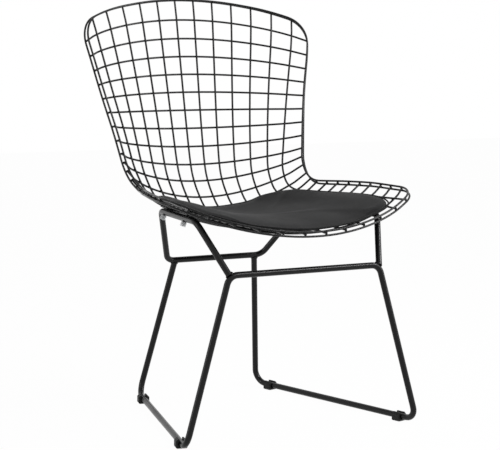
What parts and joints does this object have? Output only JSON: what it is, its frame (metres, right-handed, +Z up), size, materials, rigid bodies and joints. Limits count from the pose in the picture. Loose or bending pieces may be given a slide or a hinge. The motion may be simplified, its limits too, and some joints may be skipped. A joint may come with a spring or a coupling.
{
  "type": "wire mesh chair",
  "caption": "Armless side chair: a curved shell of welded steel wire grid with a double wire rim on a bent rod base, with a padded seat cushion.",
  "frame": {"origin": "on the floor under the middle of the chair's width and depth", "axes": "+Z up, front of the seat towards -Y, +X to the right of someone facing the chair's front from outside"},
  "size_m": [0.5338, 0.5586, 0.8177],
  "materials": {
    "coated_wire": "satin black powder coat on steel wire",
    "coated_rim": "satin black powder coat on steel wire",
    "coated_rod": "satin black powder coat on steel rod",
    "black_zinc": "black plated steel",
    "clear_plastic": "clear soft plastic",
    "black_plastic": "matt black moulded nylon",
    "black_leatherette": "black leatherette over foam"
  },
  "bodies": {
    "root": {"cross_wire_01": "coated_wire", "cross_wire_02": "coated_wire", "cross_wire_03": "coated_wire", "cross_wire_04": "coated_wire", "cross_wire_05": "coated_wire", "cross_wire_06": "coated_wire", "cross_wire_07": "coated_wire", "cross_wire_08": "coated_wire", "cross_wire_09": "coated_wire", "cross_wire_10": "coated_wire", "cross_wire_11": "coated_wire", "cross_wire_12": "coated_wire", "cross_wire_13": "coated_wire", "cross_wire_14": "coated_wire", "cross_wire_15": "coated_wire", "cross_wire_16": "coated_wire", "cross_wire_17": "coated_wire", "cross_wire_18": "coated_wire", "cross_wire_19": "coated_wire", "cross_wire_20": "coated_wire", "cross_wire_21": "coated_wire", "cross_wire_22": "coated_wire", "glide_front_left": "black_plastic", "glide_front_right": "black_plastic", "glide_rear_left": "black_plastic", "glide_rear_right": "black_plastic", "leg_frame": "coated_rod", "mount_nuts": "black_zinc", "mount_plate_front_left": "coated_rod", "mount_plate_front_right": "coated_rod", "mount_plate_rear_left": "coated_rod", "mount_plate_rear_right": "coated_rod", "mount_studs": "black_zinc", "mount_washers": "black_zinc", "nut_caps": "clear_plastic", "rim_wire_inner": "coated_rim", "rim_wire_outer": "coated_rim", "seat_cradle": "coated_rod", "seat_pad": "black_leatherette", "upright_wire_01": "coated_wire", "upright_wire_02": "coated_wire", "upright_wire_03": "coated_wire", "upright_wire_04": "coated_wire", "upright_wire_05": "coated_wire", "upright_wire_06": "coated_wire", "upright_wire_07": "coated_wire", "upright_wire_08": "coated_wire", "upright_wire_09": "coated_wire", "upright_wire_10": "coated_wire", "upright_wire_11": "coated_wire", "upright_wire_12": "coated_wire"}
  },
  "joints": []
}
